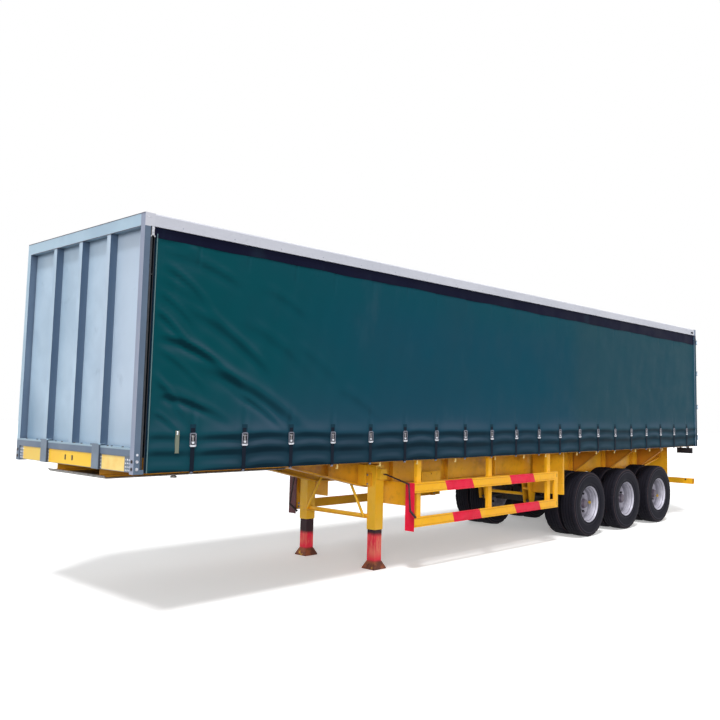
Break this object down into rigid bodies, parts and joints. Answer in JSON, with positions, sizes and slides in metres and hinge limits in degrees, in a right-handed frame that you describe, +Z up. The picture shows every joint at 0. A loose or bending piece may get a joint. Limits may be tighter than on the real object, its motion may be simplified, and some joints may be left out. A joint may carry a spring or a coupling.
{
  "type": "semi trailer",
  "caption": "Three-axle curtain-sided semi trailer with kingpin, landing legs, side guards, twin wheels and rear double doors.",
  "frame": {"origin": "on the ground, at the middle of the length and of the width", "axes": "+X to the front (kingpin end), +Y to the left side, +Z up"},
  "size_m": [12.7, 2.521, 3.78],
  "materials": {
    "axle_steel": "matte black paint",
    "bare_steel": "greased bare steel",
    "buckle_steel": "zinc-plated steel",
    "chassis_paint": "satin yellow paint",
    "curtain_cloth": "satin dark green-blue coated cloth",
    "dark_steel": "matte dark paint",
    "door_paint": "satin light blue-grey paint",
    "floor_board": "matte sealed plywood",
    "guard_paint": "satin yellow paint with red stripes",
    "lamp_red": "gloss red lens",
    "leg_red": "worn red paint",
    "lock_steel": "zinc-plated steel",
    "post_paint": "satin grey-blue paint",
    "rail_paint": "satin light grey paint",
    "roof_skin": "satin pale grey skin",
    "spring_steel": "matte dark steel",
    "tyre": "matte black rubber",
    "valance_cloth": "matte near-black coated cloth",
    "wall_paint": "satin light blue-grey paint",
    "wheel_silver": "satin silver paint"
  },
  "bodies": {
    "root": {"air_tanks": "dark_steel", "axles": "axle_steel", "brake_chambers": "dark_steel", "buckles_left": "buckle_steel", "buckles_right": "buckle_steel", "cant_rails": "rail_paint", "coupler_plate": "bare_steel", "cross_members": "chassis_paint", "curtain_left": "curtain_cloth", "curtain_poles": "post_paint", "curtain_right": "curtain_cloth", "equalisers": "spring_steel", "floor": "floor_board", "front_beam": "chassis_paint", "front_brackets": "wall_paint", "front_frame": "post_paint", "front_wall": "wall_paint", "guard_brackets": "chassis_paint", "kingpin": "bare_steel", "landing_feet": "leg_red", "landing_legs": "chassis_paint", "leaf_springs": "spring_steel", "leg_braces": "chassis_paint", "leg_cranks": "dark_steel", "main_beams": "chassis_paint", "mud_shields": "chassis_paint", "outrigger_gussets": "chassis_paint", "radius_rods": "axle_steel", "rear_bumper": "chassis_paint", "rear_frame": "post_paint", "rear_lamps": "lamp_red", "roof": "roof_skin", "roof_bows": "rail_paint", "side_guard_left": "guard_paint", "side_guard_right": "guard_paint", "side_posts": "rail_paint", "side_rails": "chassis_paint", "spring_hangers": "chassis_paint", "valances": "valance_cloth"},
    "wheels_1_left": {"tyres_1_left": "tyre", "wheel_1_left": "wheel_silver"},
    "wheels_1_right": {"tyres_1_right": "tyre", "wheel_1_right": "wheel_silver"},
    "wheels_2_left": {"tyres_2_left": "tyre", "wheel_2_left": "wheel_silver"},
    "wheels_2_right": {"tyres_2_right": "tyre", "wheel_2_right": "wheel_silver"},
    "wheels_3_left": {"tyres_3_left": "tyre", "wheel_3_left": "wheel_silver"},
    "wheels_3_right": {"tyres_3_right": "tyre", "wheel_3_right": "wheel_silver"},
    "door_left": {"door_left": "door_paint", "door_locks_left": "lock_steel"},
    "door_right": {"door_locks_right": "lock_steel", "door_right": "door_paint"}
  },
  "joints": [
    {"name": "wheel_spin_1_left", "type": "hinge", "parent": "root", "child": "wheels_1_left", "pos_m": [-1.928, 0.92, 0.525], "axis": [0, 1, 0], "continuous": true},
    {"name": "wheel_spin_1_right", "type": "hinge", "parent": "root", "child": "wheels_1_right", "pos_m": [-1.928, -0.92, 0.525], "axis": [0, 1, 0], "continuous": true},
    {"name": "wheel_spin_2_left", "type": "hinge", "parent": "root", "child": "wheels_2_left", "pos_m": [-3.238, 0.92, 0.525], "axis": [0, 1, 0], "continuous": true},
    {"name": "wheel_spin_2_right", "type": "hinge", "parent": "root", "child": "wheels_2_right", "pos_m": [-3.238, -0.92, 0.525], "axis": [0, 1, 0], "continuous": true},
    {"name": "wheel_spin_3_left", "type": "hinge", "parent": "root", "child": "wheels_3_left", "pos_m": [-4.548, 0.92, 0.525], "axis": [0, 1, 0], "continuous": true},
    {"name": "wheel_spin_3_right", "type": "hinge", "parent": "root", "child": "wheels_3_right", "pos_m": [-4.548, -0.92, 0.525], "axis": [0, 1, 0], "continuous": true},
    {"name": "door_swing_left", "type": "hinge", "parent": "root", "child": "door_left", "pos_m": [-6.338, 1.238, 2.575], "axis": [0, 0, -1], "range_deg": [0, 255]},
    {"name": "door_swing_right", "type": "hinge", "parent": "root", "child": "door_right", "pos_m": [-6.338, -1.238, 2.575], "axis": [0, 0, 1], "range_deg": [0, 255]}
  ]
}
